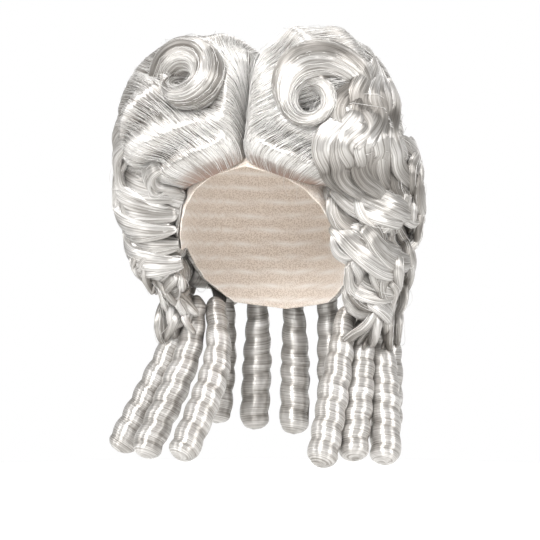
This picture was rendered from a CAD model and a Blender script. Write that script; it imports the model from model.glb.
import math

import bmesh
import bpy
import numpy as np
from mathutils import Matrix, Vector
from mathutils.bvhtree import BVHTree


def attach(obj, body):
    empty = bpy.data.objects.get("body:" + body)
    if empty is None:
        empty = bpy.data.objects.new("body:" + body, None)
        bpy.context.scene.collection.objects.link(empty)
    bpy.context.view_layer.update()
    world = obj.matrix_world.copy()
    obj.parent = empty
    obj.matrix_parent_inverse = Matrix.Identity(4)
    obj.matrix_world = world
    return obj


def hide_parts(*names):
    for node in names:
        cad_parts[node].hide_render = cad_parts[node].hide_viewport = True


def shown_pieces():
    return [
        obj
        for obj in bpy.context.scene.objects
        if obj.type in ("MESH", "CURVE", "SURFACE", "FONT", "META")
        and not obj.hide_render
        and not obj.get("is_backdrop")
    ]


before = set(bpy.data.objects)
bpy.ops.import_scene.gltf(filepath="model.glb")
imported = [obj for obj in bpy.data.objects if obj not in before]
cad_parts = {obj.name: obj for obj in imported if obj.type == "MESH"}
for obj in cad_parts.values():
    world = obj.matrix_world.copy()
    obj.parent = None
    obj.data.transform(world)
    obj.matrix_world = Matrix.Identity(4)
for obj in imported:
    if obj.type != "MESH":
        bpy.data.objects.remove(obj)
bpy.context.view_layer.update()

# Floor, light and camera. A pale matte floor under soft studio boxes, and a long lens 2 m away at brow
# height, the wearer's head turned 14 degrees from it. None of this is part of the wig.
MM = 0.001
TURN = math.radians(14)
CAMERA_DISTANCE = 2.0
CAMERA_HEIGHT = -0.135
CAMERA_SHIFT = 0.0018
SENSOR_WIDTH = 36
PHOTO_WIDTH = 0.486
FLOOR_HEIGHT = -0.40


def linear(hex_colour):
    """An sRGB hex colour as the linear values that shaders take."""
    shares = [int(hex_colour[i:i + 2], 16) / 255 for i in (1, 3, 5)]
    return tuple(s / 12.92 if s <= 0.04045 else ((s + 0.055) / 1.055) ** 2.4 for s in shares) + (1,)


def add_node(material, kind, settings=None, **links):
    """One node with its settings. A link's name is the input it goes to, with _ for a space."""
    tree = material.node_tree
    node = tree.nodes.new(kind)
    for key, value in (settings or {}).items():
        if hasattr(node, key) and key not in node.inputs:
            setattr(node, key, value)
        else:
            node.inputs[key].default_value = value
    for key, source in links.items():
        tree.links.new(source, node.inputs[int(key[1:]) if key[0] == "_" else key.replace("_", " ")])
    return node


def finish_mesh(bm, name, material, smooth=True):
    """A bmesh as an object of the scene, in the row's frame."""
    mesh = bpy.data.meshes.new(name)
    bm.to_mesh(mesh)
    bm.free()
    mesh.materials.append(material)
    mesh.polygons.foreach_set("use_smooth", [smooth] * len(mesh.polygons))
    made = bpy.data.objects.new(name, mesh)
    bpy.context.scene.collection.objects.link(made)
    return made


floor_paint = bpy.data.materials.new("matte_floor_paint")
floor_paint.use_nodes = True
floor_shader = floor_paint.node_tree.nodes["Principled BSDF"]
floor_shader.inputs["Base Color"].default_value = linear("#f7f7f6")
floor_shader.inputs["Roughness"].default_value = 0.9
bm = bmesh.new()
bmesh.ops.create_circle(bm, cap_ends=True, segments=96, radius=1.1)
bmesh.ops.translate(bm, verts=bm.verts, vec=(0, 0, FLOOR_HEIGHT))
finish_mesh(bm, "floor", floor_paint)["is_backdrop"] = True

world = bpy.data.worlds.new("studio")
world.use_nodes = True
world_nodes = world.node_tree.nodes
world_nodes["Background"].inputs["Color"].default_value = linear("#ffffff")
# The white backdrop is seen at full strength and lights the hair at a third of it, as one that stands well
# back does.
seen = world_nodes.new("ShaderNodeLightPath")
strength = world_nodes.new("ShaderNodeMapRange")
strength.inputs["To Min"].default_value, strength.inputs["To Max"].default_value = 0.34, 1.0
world.node_tree.links.new(seen.outputs["Is Camera Ray"], strength.inputs["Value"])
world.node_tree.links.new(strength.outputs["Result"], world_nodes["Background"].inputs["Strength"])
bpy.context.scene.world = world

SOFT_BOXES = [
    # where it hangs, what it points at, width and height, watts
    ((-0.3, -2.0, 1.3), (0, 0, -0.05), (0.9, 1.2), 82),
    ((0.9, -2.1, 0.1), (0, 0, -0.15), (0.5, 0.9), 8),
    ((-1.9, -1.0, 0.4), (0, 0, -0.1), (0.8, 1.4), 18),
    ((2.0, -0.7, 0.4), (0, 0, -0.1), (0.8, 1.4), 36),
    ((0.0, 0.4, 1.9), (0, 0, 0), (0.9, 0.9), 24),
    ((0.0, 2.2, 0.5), (0, 0, 0), (1.4, 1.0), 16),
]
for number, (place, target, (width, height), watts) in enumerate(SOFT_BOXES):
    light = bpy.data.lights.new(f"soft_box_{number}", "AREA")
    light.shape = "RECTANGLE"
    light.size, light.size_y = width, height
    light.energy = watts
    lamp = bpy.data.objects.new(f"soft_box_{number}", light)
    lamp.location = place
    lamp.rotation_euler = (Vector(target) - Vector(place)).to_track_quat("-Z", "Y").to_euler()
    bpy.context.scene.collection.objects.link(lamp)

camera_data = bpy.data.cameras.new("camera")
camera_data.sensor_width = SENSOR_WIDTH
camera_data.lens = SENSOR_WIDTH * CAMERA_DISTANCE / PHOTO_WIDTH
camera = bpy.data.objects.new("camera", camera_data)
right_of_photo = Vector((math.cos(TURN), math.sin(TURN), 0))
away = Vector((math.sin(TURN), -math.cos(TURN), 0))
camera.location = away * CAMERA_DISTANCE + right_of_photo * CAMERA_SHIFT
camera.location.z = CAMERA_HEIGHT
camera.rotation_euler = (math.pi / 2, 0, TURN)
bpy.context.scene.collection.objects.link(camera)
bpy.context.scene.camera = camera
bpy.context.scene.view_settings.view_transform = "Standard"

# The cap: skin-coloured stretch net with a strip of fine lace at the brow. Rows of sewn hair wefts run
# round it, and they show as ridges inside. It replaces the CAD's plain shell.
HEAD = np.array([76.0, 95.0, 100.0])
# A row is an angle from the brow in degrees, and how far the edge is below the crown there, in mm.
CAP_EDGE = [(0, 46), (27, 54), (42, 65), (54, 80), (66, 102), (76, 117), (92, 114), (108, 142), (132, 164),
            (180, 170)]
WEFT_SPACING = 13.0


def edge_drop(degrees):
    """How far the cap's edge is below the crown, in mm, at an angle from the brow."""
    folded = np.abs((degrees + 180) % 360 - 180)
    return np.interp(folded, *zip(*CAP_EDGE))


def on_head(degrees, drop, grown):
    """Points on the head's egg, grown by some mm."""
    fall = np.clip(1 - drop / HEAD[2], -1, 1)
    out = np.sqrt(1 - fall**2)
    turn = np.radians(degrees)
    half = HEAD + np.atleast_1d(grown)[..., None]
    return np.stack([half[..., 0] * out * np.sin(turn), -half[..., 1] * out * np.cos(turn),
                     half[..., 2] * fall - HEAD[2]], -1)


def lay_grid(table, uv, wrap=False, **layers):
    """A grid of quads over a table of points in mm, its columns across the strands and its rows along them.
    Layers are values per point that the material reads."""
    columns, rows = table.shape[0] - 1, table.shape[1] - 1
    bm = bmesh.new()
    strands = bm.loops.layers.uv.new("strands")
    made = {key: bm.verts.layers.float.new(key) for key in layers}
    bmesh.ops.create_grid(bm, x_segments=columns, y_segments=rows, size=0.5)
    spot = [(round((v.co.x + 0.5) * columns), round((v.co.y + 0.5) * rows)) for v in bm.verts]
    places = (table * MM).tolist()
    uv = (uv * MM).tolist()
    for face in bm.faces:
        for loop in face.loops:
            i, j = spot[loop.vert.index]
            loop[strands].uv = uv[i][j]
    for vert, (i, j) in zip(bm.verts, spot):
        vert.co = places[i][j]
        for key, layer in made.items():
            vert[layer] = float(layers[key][i, j])
    if wrap:
        bmesh.ops.remove_doubles(bm, verts=bm.verts, dist=2e-5)
    return bm


net = bpy.data.materials.new("skin_coloured_stretch_net")
# Warp-knitted nylon net: matte, with a mesh of about 1.2 mm holes that shows as a fine even grain.
net.use_nodes = True
net_shader = net.node_tree.nodes["Principled BSDF"]
net_shader.inputs["Roughness"].default_value = 0.85
net_shader.inputs["Sheen Weight"].default_value = 0.25
net_place = add_node(net, "ShaderNodeTexCoord")
net_holes = add_node(net, "ShaderNodeTexVoronoi", {"Scale": 1 / 0.0013}, Vector=net_place.outputs["Object"])
net_tone = add_node(net, "ShaderNodeValToRGB", None, Fac=net_holes.outputs["Distance"])
net_tone.color_ramp.elements[0].color = linear("#b3a293")
net_tone.color_ramp.elements[0].position = 0.15
net_tone.color_ramp.elements[1].color = linear("#dacfc4")
net_tone.color_ramp.elements[1].position = 0.6
net_weft = add_node(net, "ShaderNodeAttribute", {"attribute_name": "weft"})
net_mix = add_node(net, "ShaderNodeMix", {"data_type": "RGBA"}, Factor=net_weft.outputs["Fac"])
net.node_tree.links.new(net_tone.outputs["Color"], net_mix.inputs[6])
net_mix.inputs[7].default_value = linear("#e4e0db")
net.node_tree.links.new(net_mix.outputs[2], net_shader.inputs["Base Color"])
net_bump = add_node(net, "ShaderNodeBump", {"Strength": 0.5, "Distance": 0.0004},
                    Height=net_holes.outputs["Distance"])
net.node_tree.links.new(net_bump.outputs["Normal"], net_shader.inputs["Normal"])

degrees, share = np.meshgrid(np.linspace(0, 360, 121), np.linspace(0, 1, 61), indexing="ij")
slope = np.arccos(1 - edge_drop(degrees) / HEAD[2]) * share
drop = HEAD[2] * (1 - np.cos(slope))
back = np.clip((np.abs((degrees + 180) % 360 - 180) - 40) / 15, 0, 1) * np.clip((drop - 12) / 12, 0, 1)
weft = back * np.clip(1 - np.abs((drop / WEFT_SPACING) % 1 - 0.5) * 5, 0, 1)
table = on_head(degrees, drop, 0.9 - 0.8 * weft)
bm = lay_grid(table, np.stack([degrees, drop], -1), wrap=True, weft=weft)
bmesh.ops.recalc_face_normals(bm, faces=bm.faces)
cap = finish_mesh(bm, "net_cap", net)
wall = cap.modifiers.new("wall", "SOLIDIFY")
wall.thickness, wall.offset = 1.0 * MM, 1
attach(cap, "root")
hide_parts("lace_cap")

# The hair itself: silky silver-white synthetic fibre, extruded smooth, so light breaks into bright bands
# across the strands. One material serves every lock. It reads how high a strand lies, how near its root is,
# and how calm the strands lie beside each other.
silver = bpy.data.materials.new("silver_white_acrylic_fibre")
silver.use_nodes = True
silver_shader = silver.node_tree.nodes["Principled BSDF"]
silver_shader.inputs["Roughness"].default_value = 0.42
silver_shader.inputs["IOR"].default_value = 1.55
silver_shader.inputs["Specular IOR Level"].default_value = 1.0
silver_shader.inputs["Anisotropic"].default_value = 0.95
silver_shader.inputs["Metallic"].default_value = 0.62
silver_across = add_node(silver, "ShaderNodeTangent", {"direction_type": "UV_MAP", "uv_map": "strands"})
silver.node_tree.links.new(silver_across.outputs["Tangent"], silver_shader.inputs["Tangent"])
silver_uv = add_node(silver, "ShaderNodeUVMap", {"uv_map": "strands"})
# A fibre is 0.07 mm thick, too fine to show: the streaks are drawn as bundles 0.9 mm and 2.6 mm wide.
silver_fine_map = add_node(silver, "ShaderNodeMapping", {"Scale": (1 / 0.0009, 1 / 0.05, 1)},
                           Vector=silver_uv.outputs["UV"])
silver_fine = add_node(silver, "ShaderNodeTexNoise",
                       {"noise_dimensions": "2D", "Scale": 1, "Detail": 3, "Roughness": 0.6},
                       Vector=silver_fine_map.outputs["Vector"])
silver_lock_map = add_node(silver, "ShaderNodeMapping", {"Scale": (1 / 0.0026, 1 / 0.03, 1)},
                           Vector=silver_uv.outputs["UV"])
silver_lock = add_node(silver, "ShaderNodeTexNoise",
                       {"noise_dimensions": "2D", "Scale": 1, "Detail": 3, "Roughness": 0.65},
                       Vector=silver_lock_map.outputs["Vector"])
silver_tone = add_node(silver, "ShaderNodeValToRGB", None, Fac=silver_fine.outputs["Fac"])
silver_tone.color_ramp.elements[0].color = linear("#98948f")
silver_tone.color_ramp.elements[0].position = 0.34
silver_tone.color_ramp.elements[1].color = linear("#dddbd9")
silver_tone.color_ramp.elements[1].position = 0.62
silver_lie = add_node(silver, "ShaderNodeAttribute", {"attribute_name": "lie"})
silver_shade = add_node(silver, "ShaderNodeValToRGB", None, Fac=silver_lie.outputs["Fac"])
silver_shade.color_ramp.elements[0].color = linear("#5a544d")
silver_shade.color_ramp.elements[0].position = 0.04
silver_shade.color_ramp.elements[1].color = linear("#ffffff")
silver_shade.color_ramp.elements[1].position = 0.92
silver_shade.color_ramp.elements.new(0.3).color = linear("#a29e99")
silver_shade.color_ramp.elements.new(0.6).color = linear("#d6d4d1")
silver_deep = add_node(silver, "ShaderNodeMix",
                       {"data_type": "RGBA", "blend_type": "MULTIPLY", "Factor": 1.0})
silver.node_tree.links.new(silver_tone.outputs["Color"], silver_deep.inputs[6])
silver.node_tree.links.new(silver_shade.outputs["Color"], silver_deep.inputs[7])
silver_root = add_node(silver, "ShaderNodeAttribute", {"attribute_name": "root"})
silver_tinted = add_node(silver, "ShaderNodeMix", {"data_type": "RGBA"}, Factor=silver_root.outputs["Fac"])
silver.node_tree.links.new(silver_deep.outputs[2], silver_tinted.inputs[6])
silver_tinted.inputs[7].default_value = linear("#9b8478")
silver.node_tree.links.new(silver_tinted.outputs[2], silver_shader.inputs["Base Color"])
# Neighbouring strands tip a little differently along their length, which breaks the ends of each bright
# band. Calm hair tips less.
silver_geometry = add_node(silver, "ShaderNodeNewGeometry")
silver_strand_way = add_node(silver, "ShaderNodeVectorMath", {"operation": "CROSS_PRODUCT"})
silver.node_tree.links.new(silver_geometry.outputs["Normal"], silver_strand_way.inputs[0])
silver.node_tree.links.new(silver_across.outputs["Tangent"], silver_strand_way.inputs[1])
silver_tip = add_node(silver, "ShaderNodeMath", {"operation": "MULTIPLY_ADD"})
silver.node_tree.links.new(silver_lock.outputs["Fac"], silver_tip.inputs[0])
silver_tip.inputs[1].default_value, silver_tip.inputs[2].default_value = 0.85, -0.42
silver_calm = add_node(silver, "ShaderNodeAttribute", {"attribute_name": "calm"})
silver_loose = add_node(silver, "ShaderNodeMath", {"operation": "MULTIPLY_ADD"})
silver.node_tree.links.new(silver_calm.outputs["Fac"], silver_loose.inputs[0])
silver_loose.inputs[1].default_value, silver_loose.inputs[2].default_value = -1.0, 1.0
silver_tip_now = add_node(silver, "ShaderNodeMath", {"operation": "MULTIPLY"})
silver.node_tree.links.new(silver_tip.outputs["Value"], silver_tip_now.inputs[0])
silver.node_tree.links.new(silver_loose.outputs["Value"], silver_tip_now.inputs[1])
silver_tipped = add_node(silver, "ShaderNodeVectorMath", {"operation": "MULTIPLY_ADD"})
silver.node_tree.links.new(silver_strand_way.outputs["Vector"], silver_tipped.inputs[0])
silver.node_tree.links.new(silver_tip_now.outputs["Value"], silver_tipped.inputs[1])
silver.node_tree.links.new(silver_geometry.outputs["Normal"], silver_tipped.inputs[2])
silver_normal = add_node(silver, "ShaderNodeVectorMath", {"operation": "NORMALIZE"})
silver.node_tree.links.new(silver_tipped.outputs["Vector"], silver_normal.inputs[0])
silver_bump = add_node(silver, "ShaderNodeBump", {"Strength": 0.22, "Distance": 0.0005},
                       Height=silver_fine.outputs["Fac"], Normal=silver_normal.outputs["Vector"])
silver.node_tree.links.new(silver_bump.outputs["Normal"], silver_shader.inputs["Normal"])


def wander(a, b, seed):
    """Smooth random rise and fall between -1 and 1 over two coordinates, about one bump per unit."""
    heights = np.random.default_rng(seed).uniform(-1, 1, (64, 64))
    i, j = np.floor(a).astype(int), np.floor(b).astype(int)
    s, t = a - i, b - j
    s, t = s * s * (3 - 2 * s), t * t * (3 - 2 * t)
    row = lambda k: heights[(i) % 64, (j + k) % 64] * (1 - s) + heights[(i + 1) % 64, (j + k) % 64] * s
    return row(0) * (1 - t) + row(1) * t


def locks(across, along, seed, wide=11.0):
    """How the hair parts into locks, sub-locks and strands: round tops with sharp valleys, from 0 to 1."""
    bent = (across + 3.0 * wander(across / 24, along / 42, seed + 1)
            + 0.9 * wander(across / 7, along / 19, seed + 2))
    tress = np.abs(wander(bent / wide, along / 120, seed + 3)) ** 0.6
    lock = np.abs(wander(bent / 4.6, along / 80, seed + 4)) ** 0.7
    strand = 0.5 + 0.5 * wander(bent / 1.6, along / 45, seed + 5)
    return np.clip(0.12 + 0.5 * tress + 0.26 * lock + 0.12 * strand, 0, 1)


def facing(table, outward=1):
    """The way that each point of a table faces."""
    normal = np.cross(np.gradient(table, axis=0), np.gradient(table, axis=1))
    return outward * normal / np.maximum(np.linalg.norm(normal, axis=-1, keepdims=True), 1e-9)


def lengths(table, axis):
    """How far along a table's columns or rows each point lies, in mm."""
    step = np.linalg.norm(np.diff(table, axis=axis), axis=-1)
    zero = np.zeros_like(np.take(step, [0], axis=axis))
    return np.concatenate([zero, np.cumsum(step, axis=axis)], axis=axis)


def read(table, i, j):
    """A table's values between its rows and columns."""
    i = np.clip(i, 0, table.shape[0] - 1.001)
    j = np.clip(j, 0, table.shape[1] - 1.001)
    a, b = i.astype(int), j.astype(int)
    s, t = (i - a)[..., None], (j - b)[..., None]
    return ((table[a, b] * (1 - s) + table[a + 1, b] * s) * (1 - t)
            + (table[a, b + 1] * (1 - s) + table[a + 1, b + 1] * s) * t)


# Single strands, kept as lists of points in mm under the piece that they lie on.
loose = {}


def comb_strands(piece, table, outward, count, seed, points=11, lift=0.5, reach=(0.25, 0.8), stray=0.06):
    """Single strands that lie on a table of points, along its rows, kept as lines for the piece they belong
    to. A few stray ones stand off the surface."""
    rng = np.random.default_rng(seed)
    normal = facing(table, outward)
    columns, rows = table.shape[0] - 1, table.shape[1] - 1
    start = rng.uniform(0, 1, (count, 1))
    long = rng.uniform(*reach, (count, 1))
    begin = rng.uniform(-0.05, 1, (count, 1)) * (1 - long)
    step = np.linspace(0, 1, points)[None, :]
    drift = rng.normal(0, 0.012, (count, 1)) * step + rng.normal(0, 0.004, (count, 1)) * np.sin(step * 7)
    i = (start + drift) * columns
    j = (begin + long * step) * rows
    off = rng.uniform(0.1, 1, (count, 1)) * lift
    wild = rng.uniform(0, 1, (count, 1)) < stray
    off = off + np.where(wild, rng.uniform(1, 4.5, (count, 1)), 0) * np.sin(np.pi * step) ** 2
    off = off + 0.25 * np.sin(step * 9 + start * 50)
    lines = read(table, i, j) + read(normal, i, j) * off[..., None]
    loose.setdefault(piece, []).append(lines)


# The under hair: wefts of straight hair on the cap below the lobes, from temple to temple round the back.
# It closes the gaps between the rolled curls.
WEFT_START, WEFT_END, WEFT_TOP = 60, 300, 78
degrees, share = np.meshgrid(np.linspace(WEFT_START, WEFT_END, 171), np.linspace(0, 1, 45), indexing="ij")
ends = np.clip(np.minimum(degrees - WEFT_START, WEFT_END - degrees) / 22, 0, 1) ** 0.6
bottom = edge_drop(degrees) - 2
drop = WEFT_TOP + (bottom - WEFT_TOP) * share
across = (degrees - WEFT_START) * 1.5
lie = locks(across, drop, 11)
edge = np.clip((bottom - drop) / 6, 0, 1) ** 0.5
outer = on_head(degrees, drop, 3.2 + (3.0 + 2.4 * lie) * ends * (0.25 + 0.75 * edge))


def round_section(top, below):
    """A sheet's top and underside as one table that goes round it."""
    return np.concatenate([top, below[:, ::-1], top[:, :1]], 1)


bm = lay_grid(round_section(outer, on_head(degrees, drop, 2.6 + 0 * drop)),
              round_section(np.stack([across, drop], -1), np.stack([across, drop], -1)), wrap=True,
              lie=round_section(lie, 0.62 + 0 * lie), root=round_section(0 * lie, 0 * lie))
bmesh.ops.holes_fill(bm, edges=[e for e in bm.edges if e.is_boundary])
bmesh.ops.recalc_face_normals(bm, faces=bm.faces)
under_hair = finish_mesh(bm, "under_hair_wefts", silver)
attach(under_hair, "root")
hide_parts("under_hair")

# The lobes: hair drawn up from the brow and out of the cleft, over its lip and back over padding, in two
# halves of a heart. Each guide is one line of comb strokes from the hairline to the back, for the wearer's
# left; the right is its mirror with its own reach.
LOBE_MIDDLE = np.array([50.2, -22.0, -20.0])
LOBE_REACH = {"left": (72.0, 102.0), "right": (78.0, 97.0)}
LIP = 22.0
GUIDES = np.array([
    [(0.4, -41, -10), (0.4, -50, 10), (0.4, -52, 30), (0.4, -36, 48), (0.4, -8, 54),
     (0.4, 30, 46), (0.4, 62, 20), (0.4, 82, -20), (3, 92, -50)],
    [(0.4, -50, -15), (0.4, -64, 14), (0.4, -68, 42), (3, -58, 62), (14, -30, 80),
     (20, 16, 78), (22, 60, 46), (20, 86, -8), (16, 93, -48)],
    [(0.4, -54, -18), (0.4, -74, 12), (1, -84, 40), (8, -84, 60), (30, -56, 80),
     (50, 0, 80), (52, 54, 48), (44, 82, 0), (34, 92, -46)],
    [(0.4, -58, -21), (0.4, -80, 5), (1, -96, 28), (11, -102, 43), (38, -84, 62),
     (76, -34, 66), (84, 28, 48), (74, 66, 4), (56, 86, -46)],
    [(0.4, -64, -26), (0.4, -86, -4), (2, -104, 13), (13, -112, 24), (42, -104, 42),
     (82, -70, 48), (106, -10, 36), (100, 48, 0), (74, 78, -48)],
    [(0.4, -71, -32), (0.4, -92, -14), (4, -107, -1), (18, -114, 8), (46, -109, 20),
     (86, -80, 27), (114, -24, 18), (110, 38, -12), (82, 72, -50)],
    [(1, -82, -44), (2, -96, -27), (9, -108, -13), (25, -113, -3), (52, -107, 8),
     (90, -80, 14), (117, -22, 8), (112, 36, -20), (87, 64, -55)],
    [(8, -84, -46), (10, -100, -33), (19, -110, -21), (36, -111, -10), (60, -105, -1),
     (94, -78, 3), (118, -20, -4), (113, 34, -27), (90, 60, -59)],
    [(20, -83, -48), (22, -97, -37), (32, -107, -27), (48, -107, -17), (70, -99, -9),
     (99, -72, -6), (119, -18, -13), (114, 31, -34), (92, 54, -63)],
    [(32, -79, -50), (36, -92, -42), (47, -100, -33), (62, -98, -25), (82, -88, -18),
     (104, -62, -16), (120, -14, -22), (114, 29, -41), (93, 48, -67)],
    [(45, -71, -56), (53, -82, -50), (65, -87, -42), (79, -83, -35), (95, -70, -29),
     (109, -44, -30), (119, -4, -37), (111, 27, -51), (94, 41, -71)],
    [(58, -56, -68), (69, -64, -63), (81, -67, -57), (93, -62, -50), (104, -48, -46),
     (112, -24, -48), (115, 4, -54), (108, 26, -62), (95, 36, -75)],
    [(66, -42, -80), (76, -46, -77), (87, -46, -71), (97, -40, -66), (104, -28, -64),
     (108, -10, -65), (108, 8, -68), (103, 24, -73), (95, 32, -80)],
], float)


def between(points, at):
    """A smooth curve through points, or through whole rows of them, read at shares of its length."""
    t = np.clip(at, 0, 1) * (len(points) - 1)
    i = np.minimum(t.astype(int), len(points) - 2)
    s = (t - i).reshape((-1,) + (1,) * (points.ndim - 1))
    a, b, c, d = (points[np.clip(i + k, 0, len(points) - 1)] for k in (-1, 0, 1, 2))
    return b + 0.5 * s * (c - a + s * (2 * a - 5 * b + 4 * c - d + s * (3 * (b - c) + d - a)))


def ease(value, low, high):
    """From 0 below low to 1 above high, smoothly."""
    t = np.clip((value - low) / (high - low), 0, 1)
    return t * t * (3 - 2 * t)


def on_lobe(points, reach_out, reach_up):
    """Points pushed out from the lobe's middle to its egg, or to the cleft's plane where that is nearer."""
    way = points - LOBE_MIDDLE
    way = way / np.linalg.norm(way, axis=-1, keepdims=True)
    lip = LIP * (0.28 + 0.72 * ease(points[..., 2], -34, 6))
    down = 74 + (45 - 74) * ease(-way[..., 1], -0.2, 0.6)
    across = way[..., 0] / np.where(way[..., 0] < 0, 74, reach_out)
    deep = way[..., 1] / np.where(way[..., 1] < 0, 90, 112)
    high = way[..., 2] / np.where(way[..., 2] > 0, reach_up, down)
    egg = (np.abs(across) ** 2.1 + np.abs(deep) ** 2.1 + np.abs(high) ** 2.1) ** (-1 / 2.1)
    plane = np.where(way[..., 0] < -1e-3, (LOBE_MIDDLE[0] - 0.4) / np.maximum(-way[..., 0], 1e-3), 1e3)
    near = np.maximum(lip - np.abs(egg - plane), 0)
    return way, np.minimum(egg, plane) - near**2 / (4 * lip)


def on_cap(points, grown):
    """The nearest way down to the cap from points above it."""
    middle = np.array([0, 0, -HEAD[2]])
    way = (points - middle) / (HEAD + np.asarray(grown)[..., None])
    return middle + (points - middle) / np.linalg.norm(way, axis=-1, keepdims=True)


def outside_cap(table, grown):
    """Points with any that would be inside the cap moved out onto it."""
    middle = np.array([0, 0, -HEAD[2]])
    deep = np.linalg.norm((table - middle) / (HEAD + grown), axis=-1, keepdims=True)
    return np.where(deep < 1, on_cap(table, grown + 0 * table[..., 0]), table)


def close_over_cap(bm, grown):
    """Draws a piece's open edge in over the cap in rings and shuts it, so its underside follows the head."""
    edge = [e for e in bm.edges if e.is_boundary]
    rim = {v for e in edge for v in e.verts}
    centre = sum((v.co for v in rim), Vector()) / len(rim)
    for pull in (0.10, 0.3, 0.5, 0.7):
        made = bmesh.ops.extrude_edge_only(bm, edges=edge)["geom"]
        edge = [g for g in made if isinstance(g, bmesh.types.BMEdge)]
        for v in (g for g in made if isinstance(g, bmesh.types.BMVert)):
            spot = v.co.lerp(centre, pull)
            v.co = on_cap(np.array(spot)[None] / MM, grown)[0] * MM
    last = list({v for e in edge for v in e.verts})
    middle = sum((v.co for v in last), Vector()) / len(last)
    bmesh.ops.pointmerge(bm, verts=last, merge_co=on_cap(np.array(middle)[None] / MM, grown)[0] * MM)


CREST = {"right": (np.array([48.0, -92.0, 24.0]), np.array([0.12, -0.93, 0.3])),
         "left": (np.array([61.0, -92.0, 8.0]), np.array([0.1, -0.98, 0.0]))}
LOBE_COLUMNS, LOBE_ROWS = ((230, 170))
for side, sign, seed in (("right", -1, 100), ("left", 1, 200)):
    reach_out, reach_up = LOBE_REACH[side]
    table = between(GUIDES, np.linspace(0, 1, LOBE_COLUMNS + 1))
    table = between(table.swapaxes(0, 1), np.linspace(0, 1, LOBE_ROWS + 1)).swapaxes(0, 1)
    guide, share = np.meshgrid(np.linspace(0, len(GUIDES) - 1, LOBE_COLUMNS + 1),
                               np.linspace(0, 1, LOBE_ROWS + 1), indexing="ij")
    if side == "right":
        # On this side the front hair is combed out and up round the swirl instead of straight back.
        table[..., 2] += 34 * np.exp(-(((share - 0.68) / 0.2) ** 2)) * np.exp(-(((guide - 7.2) / 2.0) ** 2))
    way, radius = on_lobe(table, reach_out, reach_up)
    table = LOBE_MIDDLE + way * radius[..., None]
    along = lengths(table, 1)
    across = np.broadcast_to(lengths(table, 0).mean(1)[:, None], along.shape)
    front = ease(-table[..., 1], 55, 85)
    from_brow = ease(guide, 5.2, 7.5)
    phase = 0.9 * wander(across / 26, along / 70, seed + 9) + across / 60
    beat = (along - 20) / 8.6 + 0.7 * wander(across / 30, along / 60, seed + 9) * ease(along, 20, 60)
    roll = 5.4 * (np.cos(beat) - 0.22 * np.cos(2 * beat)) * ease(along, 3, 18)
    roll = roll * from_brow * (0.85 + 0.35 * wander(across / 40, along / 50, seed + 12))
    roll = roll + ((1 - from_brow) * 3.6 * np.cos((table[..., 0] - 14) / 8.5 + 0.5 * phase)
                   * ease(table[..., 0], 2, 16))
    centre, axis = CREST[side][0], CREST[side][1] / np.linalg.norm(CREST[side][1])
    aside = np.linalg.norm(np.cross(table - centre, axis), axis=-1)
    below = np.linalg.norm(np.cross(table - centre + np.array([0, 0, 20.0]), axis), axis=-1)
    dish = -3.0 * np.exp(-((aside / 34) ** 2)) - 9.0 * np.exp(-((below / 24) ** 2))
    if side == "right":
        dish = dish - 14.0 * np.exp(-((aside / 25) ** 4))
    else:
        dish = dish - 30.0 * np.exp(-((aside / 12) ** 2))
    waves = 3.4 * np.cos((along - 25) / 8.2 + phase) * ease(along, 75, 120)
    lie = locks(across, along, seed)
    lie = lie + (0.72 - lie) * 0.3
    strand_rise = 4.2 * (lie - 0.65) * ease(along, 2, 18) * (0.35 + 0.65 * ease(table[..., 0], 1, 9))
    rise = (roll + dish) * front + waves - 2.2 * ease(table[..., 2], 20, 60) + strand_rise
    table = table + way * rise[..., None]
    table[..., 0] = np.maximum(table[..., 0], 0.5)
    left_over = np.max(along, axis=1, keepdims=True) - along
    settle = (np.minimum(ease(along, -2, 16), ease(left_over, -4, 26))
              * (1 - 0.8 * ease(across, across.max() - 26, across.max() + 2)))
    cap_side = on_cap(table, 3.0 + 1.5 * lie)
    table = cap_side + (table - cap_side) * settle[..., None]
    table = table * np.array([sign, 1, 1])
    root = (1 - ease(along, 5, 23)) * ease(-table[..., 1], 25, 40) * from_brow
    uv = np.stack([across, along], -1)
    lie = np.clip(lie * (0.84 + 0.6 * np.clip((roll * front + waves) / 4.5, -1, 1)), 0, 1)
    lie = lie * (1 - 0.9 * np.exp(-((aside / (8 if side == "right" else 13)) ** 2)) * front)
    bm = lay_grid(table, uv, lie=lie, root=root, calm=0 * lie + 0.4)
    close_over_cap(bm, 2.7)
    bmesh.ops.recalc_face_normals(bm, faces=bm.faces)
    lobe = finish_mesh(bm, f"combed_lobe_{side}", silver)
    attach(lobe, "root")
    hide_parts(f"lobe_{side}")
    comb_strands(f"lobe_{side}", table, sign, 700, seed + 20, lift=0.8)

# The crest curls: a thick lock on each lobe, wound forward round the fingers into a swirl with a small hole
# and pinned from inside. It leaves the lobe wide and ends thin, tucked in behind its first turn.


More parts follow.
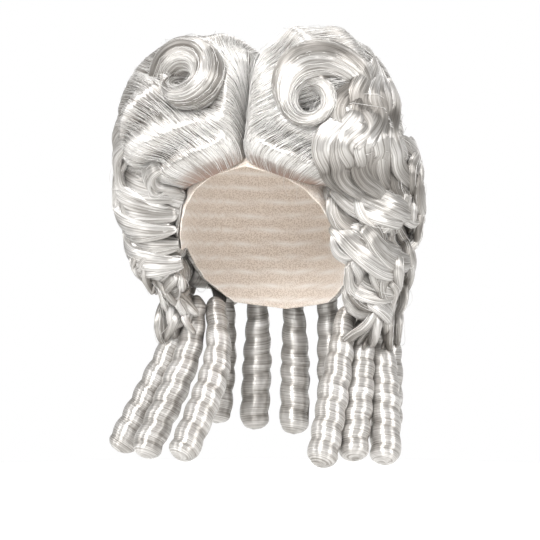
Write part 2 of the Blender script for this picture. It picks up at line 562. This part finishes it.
def grow_lock(name, node, line, outward, half_width, half_thick, seed, columns=44, strands=60, wild=0.08,
              wide=6.5, satin=0, tone=1):
    """One lock of hair with an oval section round a line of points in mm. outward is the way its broad side
    faces at each point, and its strands run along it. A satin share evens its strands out, and tone is how
    light each row is."""
    rows = len(line) - 1
    forward = np.gradient(line, axis=0)
    forward /= np.linalg.norm(forward, axis=1, keepdims=True)
    side_way = np.cross(forward, outward)
    side_way /= np.linalg.norm(side_way, axis=1, keepdims=True)
    top = np.cross(side_way, forward)
    travel = lengths(line[None], 1)[0]
    s = np.linspace(0, 1, rows + 1)[None, :]
    turn = np.linspace(0, 2 * np.pi, columns + 1)[:, None]
    wide_now, thick_now = np.broadcast_to(half_width, s.shape), np.broadcast_to(half_thick, s.shape)
    run = turn / (2 * np.pi) * np.pi * (np.mean(wide_now) + np.mean(thick_now))
    across = np.broadcast_to(run, (columns + 1, rows + 1))
    along = np.broadcast_to(travel[None, :], (columns + 1, rows + 1))
    lie = locks(across, along, seed, wide)
    lie = lie + (lie[:1] - lie[-1:]) * ease(turn, 5.0, 2 * np.pi)
    lie = lie + (0.76 - lie) * satin
    bumps = wander(across / 9, along / 26, seed + 6)
    bumps = bumps + (bumps[:1] - bumps[-1:]) * ease(turn, 4.0, 2 * np.pi)
    rise = 1.7 * (lie - 0.55) + 0.9 * bumps
    taper = np.sqrt(np.clip(np.minimum(s / 0.05, (1 - s) / 0.05), 0.003, 1))
    sine, cosine = np.sin(turn), np.cos(turn)
    sideways = np.sign(sine) * np.abs(sine) ** 0.85 * (wide_now * taper + rise * np.abs(sine) * taper)
    upward = np.sign(cosine) * np.abs(cosine) ** 0.85 * (thick_now * taper + rise * np.abs(cosine) * taper)
    table = line[None] + sideways[..., None] * side_way[None] + upward[..., None] * top[None]
    table = outside_cap(table, 3.0)
    bm = lay_grid(table, np.stack([across, along], -1), wrap=True, lie=np.clip(lie * tone, 0, 1),
                  root=0 * lie, calm=0 * lie + 0.3)
    bmesh.ops.holes_fill(bm, edges=[e for e in bm.edges if e.is_boundary])
    bmesh.ops.recalc_face_normals(bm, faces=bm.faces)
    lock = finish_mesh(bm, name, silver)
    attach(lock, "root")
    if node:
        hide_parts(node)
    face = facing(table)
    outward_sign = 1 if (face * (table - line[None])).sum() > 0 else -1
    comb_strands(node or name, table, outward_sign, strands, seed + 30, points=9, reach=(0.15, 0.5),
                 stray=wild)


def coil(name, node, middle, look, start, wind, turns, seed, rows=110, nest=0, hole=0, **more):
    """A lock wound round a middle. look is the way its open end faces. A row of turns is one quarter turn: the
    line's radius, half the lock's thickness and half its width, and how far it sits back. A nest of loose
    strands crosses its hole."""
    look = np.array(look, float) / np.linalg.norm(look)
    right = np.cross([0, 0, 1.0], look)
    right /= np.linalg.norm(right)
    up = np.cross(look, right)
    s = np.linspace(0, 1, rows + 1)
    radius, thick, width, back = between(np.array(turns, float), s).T
    angle = np.radians(start) + wind * s * (len(turns) - 1) * np.pi / 2
    out = np.cos(angle)[:, None] * right + np.sin(angle)[:, None] * up
    radius = radius * (1 + 0.05 * wander(angle / 1.3 + 9, 0 * angle, seed))
    back = back + 2.0 * wander(angle / 1.1 + 9, 0 * angle + 5, seed)
    line = np.array(middle, float) + radius[:, None] * out - back[:, None] * look
    if nest:
        rng = np.random.default_rng(seed + 60)
        step = np.linspace(0, 1, 9)[None, :, None]
        first = rng.uniform(0, 2 * np.pi, nest)
        ends = [hole * (np.cos(a)[:, None] * right + np.sin(a)[:, None] * up)
                for a in (first, first + rng.uniform(1.6, 3.6, nest))]
        bow = rng.normal(0, 0.3 * hole, (nest, 1)) * right + rng.normal(0, 0.3 * hole, (nest, 1)) * up
        deep = rng.uniform(1, 9, (nest, 1)) * look
        lines = (np.array(middle, float) + (ends[0] - deep)[:, None] * (1 - step)
                 + (ends[1] - deep)[:, None] * step + bow[:, None] * np.sin(np.pi * step))
        loose.setdefault(node, []).append(lines)
    grow_lock(name, node, line, out, np.maximum(width, 1), np.maximum(thick, 1), seed, **more)


coil("crest_swirl_right", "crest_curl_right", (-48, -92, 25), (-0.12, -0.93, 0.36), 200, -1, [
    (42, 9, 14, 36), (28, 18, 23, 6), (19.5, 12.5, 25, 0), (15.5, 8.5, 24, 0), (14.5, 7, 16, 5),
    (12, 4.5, 10, 18), (9, 2.5, 6, 30)], 300, nest=14, hole=6, columns=64, rows=140, strands=150, wide=7)
coil("crest_swirl_left", "crest_curl_left", (61, -92, 8), (0.1, -0.98, 0.0), 10, 1, [
    (47, 12, 14, 26), (34, 18, 21, 6), (19.5, 9, 25, 0), (16.5, 6.5, 23, 0), (17, 6.5, 18, 2),
    (16.5, 5.5, 14, 7), (14.5, 3.5, 11, 13)], 320, nest=46, hole=13, columns=64, rows=140, strands=150, wide=7)

# The side curls: looser coils of the same kind, set over and behind the ears with their open ends to the
# front. A row holds the curl's side and number, radius, length, middle and the way it looks, as in the
# part's source.
SIDE_CURLS = [
    ("right_1", 31, 56, (-104, -6, -72), (-0.1, -1, -0.1)),
    ("right_2", 24, 50, (-104, 2, -108), (-0.1, -1, -0.15)),
    ("right_3", 17, 44, (-95, 12, -138), (0, -1, -0.2)),
    ("right_4", 22, 46, (-122, 42, -46), (-0.7, -1, -0.1)),
    ("right_5", 20, 44, (-116, 50, -94), (-0.7, -1, -0.1)),
    ("right_6", 18, 42, (-100, 56, -136), (-0.6, -1, -0.1)),
    ("left_1", 24, 50, (101, -12, -82), (0.15, -1, -0.1)),
    ("left_2", 20, 42, (86, -30, -107), (0.1, -1, -0.1)),
    ("left_3", 23, 50, (112, 22, -46), (0.4, -1, -0.2)),
    ("left_4", 22, 46, (113, 40, -100), (0.5, -1, -0.1)),
    ("left_5", 21, 46, (100, 10, -130), (0.2, -1, -0.25)),
    ("left_6", 18, 42, (98, 58, -138), (0.6, -1, -0.2)),
    ("left_7", 20, 50, (87, 20, -160), (0.15, -1, 0)),
]
for number, (name, radius, length, middle, look) in enumerate(SIDE_CURLS):
    if name.startswith("left"):
        shares = [(0.86, 0.28, 0.4, 0.1), (0.78, 0.4, 0.52, 0.04), (0.7, 0.38, 0.5, 0), (0.6, 0.32, 0.46, 0),
                  (0.54, 0.26, 0.4, 0.06), (0.44, 0.22, 0.32, 0.18), (0.32, 0.16, 0.24, 0.28)]
    else:
        shares = [(0.84, 0.3, 0.4, 0.1), (0.7, 0.46, 0.52, 0.04), (0.6, 0.46, 0.5, 0), (0.52, 0.42, 0.5, 0),
                  (0.44, 0.34, 0.42, 0.08), (0.34, 0.24, 0.32, 0.2), (0.26, 0.16, 0.24, 0.28)]
    coil(f"side_coil_{name}", f"side_curl_{name}", middle, look, (40, 120, 200)[number % 3],
         1 if middle[0] > 0 else -1,
         [(radius * r, radius * t, length * w, length * back) for r, t, w, back in shares],
         400 + 10 * number, columns=40, rows=80, strands=50, satin=0.3, nest=20,
         hole=radius * (0.36 if name.startswith("left") else 0.2))

# The back curls: three level rows of hair coils round the back of the head, wound like the side curls and
# each pinned along its row. A row holds their radius, length, two reaches from the middle, height and angles.
BACK_ROWS = [
    (22, 58, 108, 102, -44, (-54, -18, 18, 54)),
    (22, 60, 104, 112, -90, (-37, 0, 37)),
    (19, 50, 98, 108, -133, (-48, -16, 16, 48)),
]
BACK_SHARES = [(0.8, 0.3, 0.42), (0.76, 0.34, 0.52), (0.72, 0.34, 0.54), (0.66, 0.32, 0.5),
               (0.56, 0.26, 0.44), (0.4, 0.2, 0.36)]
for row, (radius, length, across, along, height, turns) in enumerate(BACK_ROWS):
    for number, degrees in enumerate(turns):
        turn = math.radians(degrees)
        coil(f"back_coil_{row + 1}_{number + 1}", f"back_curl_{row + 1}_{number + 1}",
             (across * math.sin(turn), along * math.cos(turn), height),
             (math.cos(turn), -math.sin(turn), 0), 80, -1,
             [(radius * r, radius * t, length * w, 0) for r, t, w in BACK_SHARES],
             600 + 40 * row + 10 * number, columns=32, rows=60, strands=24)

# The ringlets: a lock wound tightly down a stick and slipped off it, so its strands run almost round it and
# every turn makes a lump. Root, middle and end are as in the part's source.
RINGLETS = [
    ("ringlet_right_1", (-62, 44, -160), (-50, 6, -222), (-69, -46, -303)),
    ("ringlet_right_2", (-76, 34, -158), (-80, 14, -214), (-109, -30, -303)),
    ("ringlet_right_3", (-88, 40, -152), (-100, 24, -212), (-141, -2, -301)),
    ("ringlet_right_4", (-90, 60, -156), (-103, 52, -222), (-120, 38, -286)),
    ("ringlet_left_1", (66, 30, -168), (66, 4, -208), (60, -50, -306)),
    ("ringlet_left_2", (82, 34, -176), (82, 16, -222), (83, -28, -302)),
    ("ringlet_left_3", (88, 48, -172), (99, 34, -222), (110, -12, -306)),
    ("ringlet_left_4", (95, 64, -160), (98, 60, -215), (101, 40, -282)),
    ("nape_ringlet_1", (-62, 82, -146), (-68, 92, -215), (-72, 86, -280)),
    ("nape_ringlet_2", (-33, 92, -150), (-36, 102, -218), (-38, 96, -286)),
    ("nape_ringlet_3", (0, 96, -150), (0, 106, -220), (0, 100, -290)),
    ("nape_ringlet_4", (33, 92, -150), (36, 102, -218), (38, 96, -286)),
    ("nape_ringlet_5", (62, 82, -146), (68, 92, -215), (72, 86, -280)),
]
TURN_LENGTH = 20.5
STRAND_SLIP = 7.0
for number, (node, root_point, middle, end) in enumerate(RINGLETS):
    seed = 800 + 10 * number
    nape = node.startswith("nape")
    columns, rows = (28, 90) if nape else (44, 130)
    line = between(np.array([root_point, middle, end], float), np.linspace(0, 1, 201))
    travel = lengths(line[None], 1)[0]
    s = np.linspace(0, 1, rows + 1)
    centre = np.stack([np.interp(s * travel[-1], travel, line[:, k]) for k in range(3)], -1)
    forward = np.gradient(centre, axis=0)
    forward /= np.linalg.norm(forward, axis=1, keepdims=True)
    side_way = np.cross([0, 1.0, 0], forward)
    side_way /= np.linalg.norm(side_way, axis=1, keepdims=True)
    front = np.cross(forward, side_way)
    angle = np.linspace(0, 2 * np.pi, columns + 1)[:, None] - np.pi / 2
    down = (s * travel[-1])[None, :]
    wind = 1 if number % 2 else -1
    turn = (down / TURN_LENGTH + wind * (angle + np.pi / 2) / (2 * np.pi)
            + 0.15 * wander(down / 30, 0 * down, seed))
    lump = np.abs(np.sin(np.pi * turn)) ** 0.9
    share = (angle + np.pi / 2) / (2 * np.pi)
    slip = down + wind * STRAND_SLIP * share
    lie = (locks(slip, 90 * share, seed, 8.0) * (1 - share)
           + locks(slip - wind * STRAND_SLIP, 90 * (share - 1) + 180, seed, 8.0) * share)
    full = (9.5 + 4.5 * ease(s, 0, 0.6))[None, :]
    left_over = travel[-1] - down
    rounding = (np.sqrt(np.clip(1 - (1 - np.clip(left_over / 11, 0, 1)) ** 2, 0.0004, 1))
                * np.sqrt(np.clip(down / 10, 0.0004, 1)))
    radius = (full * (0.88 + 0.14 * lump) + 0.35 * (lie - 0.6)) * rounding
    table = (centre[None] + (radius * np.sin(angle))[..., None] * side_way[None]
             + (radius * np.cos(angle))[..., None] * front[None])
    shade = np.clip((0.5 + 0.5 * lie) * (0.66 + 0.34 * lump), 0, 1)
    uv = np.stack([np.broadcast_to(slip, radius.shape), np.broadcast_to(share * 82, radius.shape)], -1)
    bm = lay_grid(table, uv, wrap=True, lie=shade, root=0 * shade, calm=0 * shade + 0.6)
    bmesh.ops.holes_fill(bm, edges=[e for e in bm.edges if e.is_boundary])
    bmesh.ops.recalc_face_normals(bm, faces=bm.faces)
    ringlet = finish_mesh(bm, f"wound_{node}", silver)
    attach(ringlet, "root")
    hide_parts(node)

# The falls: waved locks of the same hair, combed down over the coils and into the ringlets, which hide how
# the coils are pinned. A row is one lock's way down, in degrees from the brow towards the wearer's left and
# height in mm.
FALLS = [
    [(52, 22), (46, 6), (44, -12), (40, -29), (42, -44), (52, -57), (65, -69)],
    [(63, 44), (54, 16), (51, -8), (46, -32), (49, -48), (62, -63), (74, -76)],
    [(72, 48), (60, 20), (58, -6), (54, -28), (58, -47), (71, -63), (80, -80)],
    [(82, 42), (70, 14), (68, -12), (66, -31), (76, -47), (88, -62), (92, -80)],
    [(80, -14), (88, -34), (84, -52), (94, -70), (92, -90), (100, -106)],
    [(96, -20), (104, -42), (98, -62), (108, -82), (104, -102), (110, -118)],
    [(50, -60), (62, -72), (60, -88), (72, -100), (70, -116), (78, -130)],
    [(84, -86), (96, -100), (92, -117), (104, -131), (104, -148), (110, -166)],
    [(66, -106), (80, -119), (80, -133), (94, -149), (98, -165), (106, -184)],
    [(62, -120), (76, -134), (80, -148), (94, -162), (100, -180)],
    [(112, -96), (120, -112), (114, -130), (122, -146), (116, -164), (120, -184)],
    [(-92, -24), (-100, -44), (-96, -64), (-106, -84), (-100, -104), (-108, -120)],
    [(-84, -128), (-92, -142), (-96, -158), (-106, -180)],
    [(-88, -96), (-98, -112), (-94, -130), (-104, -146), (-106, -164), (-110, -184)],
    [(-112, -96), (-120, -112), (-114, -130), (-122, -146), (-116, -164), (-120, -184)],
    [(78, -146), (92, -160), (98, -174), (94, -190), (97, -206)],
    [(94, -150), (104, -166), (100, -182), (106, -196), (102, -210)],
    [(112, -156), (116, -174), (110, -194), (116, -214)],
    [(-78, -136), (-92, -150), (-100, -164), (-98, -180), (-104, -198)],
    [(-98, -154), (-108, -170), (-104, -188), (-108, -208)],
    [(176, 34), (180, 8), (177, -18), (181, -44), (178, -70), (182, -94), (179, -116)],
] + [[(turn + 4 * (k % 2), -16 - 22 * k) for k in range(8)] for turn in range(128, 227, 14)]
# Broad smooth locks that sweep back over the ears and round under the curls. They don't wave.
SWEEPS = [
    [(-62, 0), (-74, -14), (-83, -30), (-82, -46), (-74, -58), (-62, -66), (-53, -69)],
    [(-56, -18), (-68, -30), (-78, -46), (-82, -62), (-78, -76), (-68, -84), (-57, -86)],
    [(-66, -32), (-78, -46), (-88, -64), (-90, -82), (-84, -94), (-72, -100), (-60, -98)],
    [(-45, -42), (-54, -50), (-61, -60), (-60, -70), (-52, -76)],
    [(-82, -46), (-92, -64), (-96, -84), (-94, -100), (-86, -109), (-74, -113), (-62, -111)],
    [(-90, -80), (-96, -98), (-94, -114), (-86, -125), (-74, -129), (-66, -126)],
    [(-80, -116), (-88, -128), (-88, -140), (-82, -149), (-74, -150)],
    [(-86, -22), (-94, -40), (-98, -60), (-96, -78), (-90, -90)],
    [(52, -58), (62, -70), (74, -80), (88, -84), (100, -78)],
    [(64, -62), (78, -70), (92, -76), (102, -88), (102, -104)],
    [(56, -94), (62, -112), (76, -126), (90, -128), (100, -116)],
    [(62, -124), (72, -140), (86, -150), (98, -144)],
    [(78, -140), (88, -156), (98, -168), (108, -166)],
]
# Locks are laid on every piece made so far, but not on the floor, which has few faces.
FEWEST_FACES = 2000
FALL_STEPS = 49
FEWEST_HITS = 5
NEAREST_HIT = 60
# How far a lock's middle may stand off the hair below it, by height, in mm. A ray can pass between two
# ringlets and meet the far side of the wig, and this keeps the lock from hanging in the air there.
OFF_HEIGHTS, OFF_MOST = [-150, -125, -60], [8, 18, 60]


def smoothed(values, half):
    """Values averaged with their neighbours, half of them on each side."""
    width = 2 * half + 1
    return np.convolve(np.pad(values, half, "edge"), np.ones(width) / width, "valid")


carrier = bmesh.new()
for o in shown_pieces():
    if o.type == "MESH" and not o.hide_render and len(o.data.polygons) > FEWEST_FACES:
        carrier.from_mesh(o.data)
carried = BVHTree.FromBMesh(carrier)
carrier.free()
for number, (fall, sweep) in enumerate([(row, 0) for row in FALLS] + [(row, 1) for row in SWEEPS]):
    # The wearer's left side is darker and more tangled than the right.
    light = 0.94 if fall[0][0] < 0 else 0.78
    for part, (shift, wide_now, thick_now, sway) in enumerate([(0, 19.0, 5.2, 1.8), (6.0, 11.5, 4.6, 2.8)]):
        run = np.linspace(0, 1, FALL_STEPS)
        way = between(np.array(fall, float), np.linspace(0.04 * part, 1 - 0.05 * (part == 1), FALL_STEPS))
        swing = (1 - sweep) * sway * np.sin(run * len(fall) * (3.1 - 0.35 * part) + number + 1.3 * part)
        turn = np.radians(way[:, 0] + shift + swing)
        ray = np.stack([np.sin(turn), -np.cos(turn), 0 * turn], 1)
        reach = []
        for direction, height in zip(ray, way[:, 1]):
            hit = carried.ray_cast(Vector((*(direction[:2] * 0.4), height * MM)), Vector(-direction))[0]
            reach.append(np.hypot(hit.x, hit.y) / MM if hit else np.nan)
        reach = np.array(reach)
        known = ~np.isnan(reach) & (reach > NEAREST_HIT)
        if known.sum() < FEWEST_HITS:
            continue
        reach = np.interp(np.arange(FALL_STEPS), np.flatnonzero(known), reach[known])
        reach = np.max([np.roll(np.pad(reach, 3, "edge"), k)[3:-3] for k in range(-3, 4)], axis=0)
        reach = smoothed(smoothed(reach, 7), 7)
        # The waves follow height, so those of neighbouring locks meet in broad bands.
        wave = np.cos((way[:, 1] + 24) / 8 + 0.7 * np.sin(5 * turn) + 0.5 * part)
        reach = reach + (1 - sweep) * 2.4 * wave - (1.8, 0.2)[part] + 3 * sweep
        reach = reach - 7.0 * (1 - ease(run, 0, 0.16)) - 8.0 * ease(run, 0.76, 1)
        line = np.stack([reach * ray[:, 0], reach * ray[:, 1], way[:, 1]], 1)
        found = [carried.find_nearest(Vector(point * MM)) for point in line]
        near, apart = np.array([f[0] for f in found]) / MM, np.array([f[3] for f in found])[:, None] / MM
        off = np.interp(way[:, 1], OFF_HEIGHTS, OFF_MOST)[:, None]
        line = near + (line - near) * np.minimum(1, off / np.maximum(apart, off))
        line = np.stack([smoothed(line[:, k], 3) for k in range(3)], 1)
        slim = np.sin(np.pi * (0.08 + 0.86 * run)) ** 0.5 * (1 - 0.35 * ease(run, 0.62, 1))
        # The first four rows, beside the left swirl, have no single strands.
        grow_lock(f"waved_fall_{number + 1}_{part + 1}", None, line, ray,
                  (1 - 0.1 * sweep) * wide_now * slim, thick_now * slim, 1000 + 10 * number + 3 * part,
                  columns=(28, 20)[part], strands=(22, 12)[part] * (number > 3), wild=0.15, satin=0.55,
                  tone=light + 0.36 * (1 - sweep) * wave + 0.34 * sweep * np.sin(np.pi * run) ** 2)

# Loose strands: single fibres of the same hair, drawn 0.4 mm thick because a real one is too fine to show.
# They lie on the lobes, coils and falls or stand a little off them.
strand_fibre = bpy.data.materials.new("silver_white_single_fibre")
strand_fibre.use_nodes = True
strand_shader = strand_fibre.node_tree.nodes["Principled BSDF"]
strand_shader.inputs["Base Color"].default_value = linear("#e2e0dd")
strand_shader.inputs["Roughness"].default_value = 0.3
strand_shader.inputs["Metallic"].default_value = 0.3
strand_shader.inputs["Specular IOR Level"].default_value = 0.8
STRAND_RADIUS = 0.2 * MM
section = bpy.data.curves.new("strand_section", "CURVE")
section.dimensions = "2D"
corner = section.splines.new("POLY")
corner.points.add(2)
corner.use_cyclic_u = True
for point, degrees in zip(corner.points, (90, 210, 330)):
    turn = math.radians(degrees)
    point.co = (STRAND_RADIUS * math.cos(turn), STRAND_RADIUS * math.sin(turn), 0, 1)
section_object = bpy.data.objects.new("strand_section", section)
for part, on_crest in (("crest", True), ("sides", False)):
    strand_curve = bpy.data.curves.new("strands", "CURVE")
    strand_curve.dimensions = "3D"
    strand_curve.bevel_mode = "OBJECT"
    strand_curve.bevel_object = section_object
    chosen = [batches for piece, batches in loose.items() if piece.startswith(("lobe", "crest")) == on_crest]
    for line in (line for batches in chosen for lines in batches for line in lines):
        spline = strand_curve.splines.new("POLY")
        spline.points.add(len(line) - 1)
        spline.points.foreach_set("co", np.concatenate([line * MM, np.ones((len(line), 1))], 1).ravel())
        thinning = np.sin(np.linspace(0.12, np.pi - 0.12, len(line))) * 2
        spline.points.foreach_set("radius", np.clip(thinning, 0.3, 1))
    strand_object = bpy.data.objects.new("strands", strand_curve)
    bpy.context.scene.collection.objects.link(strand_object)
    bpy.context.view_layer.update()
    swept = strand_object.evaluated_get(bpy.context.evaluated_depsgraph_get())
    strand_mesh = bpy.data.meshes.new_from_object(swept)
    bpy.data.objects.remove(strand_object)
    strand_mesh.materials.clear()
    strand_mesh.materials.append(strand_fibre)
    strand_mesh.polygons.foreach_set("use_smooth", [True] * len(strand_mesh.polygons))
    strands = bpy.data.objects.new(f"loose_strands_{part}", strand_mesh)
    bpy.context.scene.collection.objects.link(strands)
    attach(strands, "root")
bpy.data.objects.remove(section_object)
